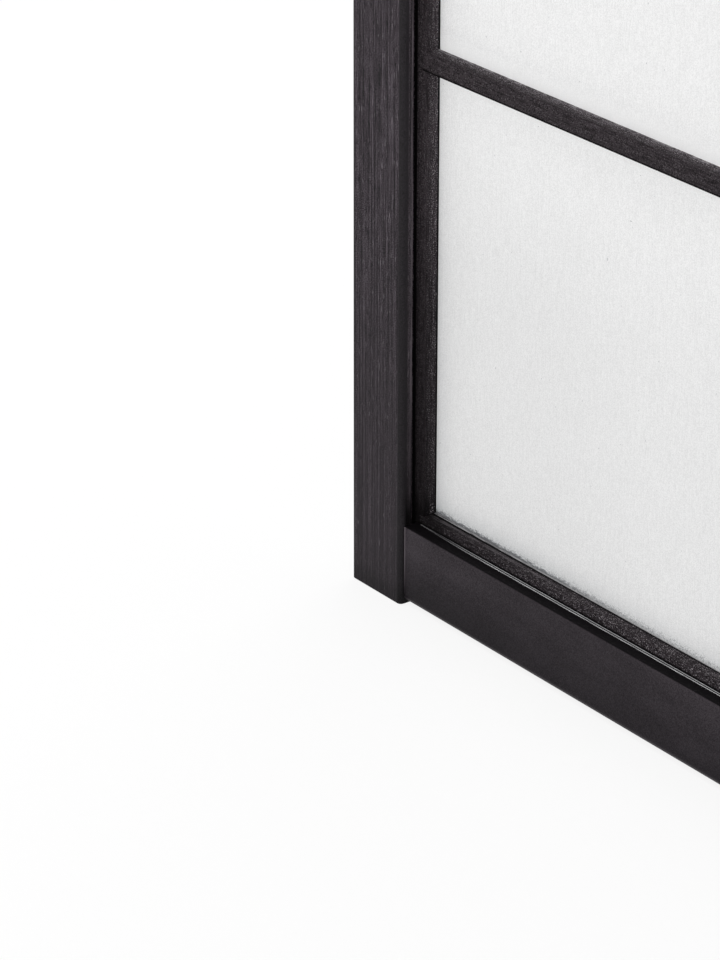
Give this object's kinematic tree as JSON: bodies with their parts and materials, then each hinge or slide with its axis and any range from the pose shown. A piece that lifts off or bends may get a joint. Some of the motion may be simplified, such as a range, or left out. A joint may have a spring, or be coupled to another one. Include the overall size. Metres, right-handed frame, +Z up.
{
  "type": "folding screen",
  "caption": "Free-standing folding screen: hinged panels with dark wooden frames, a set-back lattice of horizontal bars and white translucent paper, standing in a zigzag.",
  "frame": {"origin": "on the floor under the middle of the screen", "axes": "+X along the screen's width, +Y from its front to its back, +Z up"},
  "size_m": [1.037, 0.248, 1.75],
  "materials": {
    "stile_wood": "dark stain, open grain",
    "rail_wood": "dark stain, smooth satin",
    "lattice_wood": "dark stain, rough sawn",
    "paper": "white fibre paper",
    "hinge_brass": "satin antique",
    "screw_brass": "satin antique"
  },
  "bodies": {
    "middle_panel": {"left_fold_lower_hinge_pin": "hinge_brass", "left_fold_lower_hinge_right_leaf": "hinge_brass", "left_fold_upper_hinge_pin": "hinge_brass", "left_fold_upper_hinge_right_leaf": "hinge_brass", "middle_panel_bottom_rail": "rail_wood", "middle_panel_hinge_screws": "screw_brass", "middle_panel_lattice_bar_1": "lattice_wood", "middle_panel_lattice_bar_2": "lattice_wood", "middle_panel_lattice_bar_3": "lattice_wood", "middle_panel_lattice_bar_4": "lattice_wood", "middle_panel_lattice_bar_5": "lattice_wood", "middle_panel_lattice_bar_6": "lattice_wood", "middle_panel_lattice_bottom_strip": "lattice_wood", "middle_panel_lattice_left_strip": "lattice_wood", "middle_panel_lattice_right_strip": "lattice_wood", "middle_panel_lattice_top_strip": "lattice_wood", "middle_panel_left_stile": "stile_wood", "middle_panel_paper": "paper", "middle_panel_right_stile": "stile_wood", "middle_panel_top_rail": "rail_wood", "right_fold_lower_hinge_left_leaf": "hinge_brass", "right_fold_lower_hinge_pin": "hinge_brass", "right_fold_upper_hinge_left_leaf": "hinge_brass", "right_fold_upper_hinge_pin": "hinge_brass"},
    "left_panel": {"left_fold_lower_hinge_left_leaf": "hinge_brass", "left_fold_upper_hinge_left_leaf": "hinge_brass", "left_panel_bottom_rail": "rail_wood", "left_panel_hinge_screws": "screw_brass", "left_panel_lattice_bar_1": "lattice_wood", "left_panel_lattice_bar_2": "lattice_wood", "left_panel_lattice_bar_3": "lattice_wood", "left_panel_lattice_bar_4": "lattice_wood", "left_panel_lattice_bar_5": "lattice_wood", "left_panel_lattice_bar_6": "lattice_wood", "left_panel_lattice_bottom_strip": "lattice_wood", "left_panel_lattice_left_strip": "lattice_wood", "left_panel_lattice_right_strip": "lattice_wood", "left_panel_lattice_top_strip": "lattice_wood", "left_panel_left_stile": "stile_wood", "left_panel_paper": "paper", "left_panel_right_stile": "stile_wood", "left_panel_top_rail": "rail_wood"},
    "right_panel": {"right_fold_lower_hinge_right_leaf": "hinge_brass", "right_fold_upper_hinge_right_leaf": "hinge_brass", "right_panel_bottom_rail": "rail_wood", "right_panel_hinge_screws": "screw_brass", "right_panel_lattice_bar_1": "lattice_wood", "right_panel_lattice_bar_2": "lattice_wood", "right_panel_lattice_bar_3": "lattice_wood", "right_panel_lattice_bar_4": "lattice_wood", "right_panel_lattice_bar_5": "lattice_wood", "right_panel_lattice_bar_6": "lattice_wood", "right_panel_lattice_bottom_strip": "lattice_wood", "right_panel_lattice_left_strip": "lattice_wood", "right_panel_lattice_right_strip": "lattice_wood", "right_panel_lattice_top_strip": "lattice_wood", "right_panel_left_stile": "stile_wood", "right_panel_paper": "paper", "right_panel_right_stile": "stile_wood", "right_panel_top_rail": "rail_wood"}
  },
  "joints": [
    {"name": "left_fold", "type": "hinge", "parent": "middle_panel", "child": "left_panel", "pos_m": [-0.17423, -0.10161, 0], "axis": [0, 0, 1], "range_deg": [-110, 70]},
    {"name": "right_fold", "type": "hinge", "parent": "middle_panel", "child": "right_panel", "pos_m": [0.17423, 0.10161, 0], "axis": [0, 0, 1], "range_deg": [-110, 70]}
  ]
}
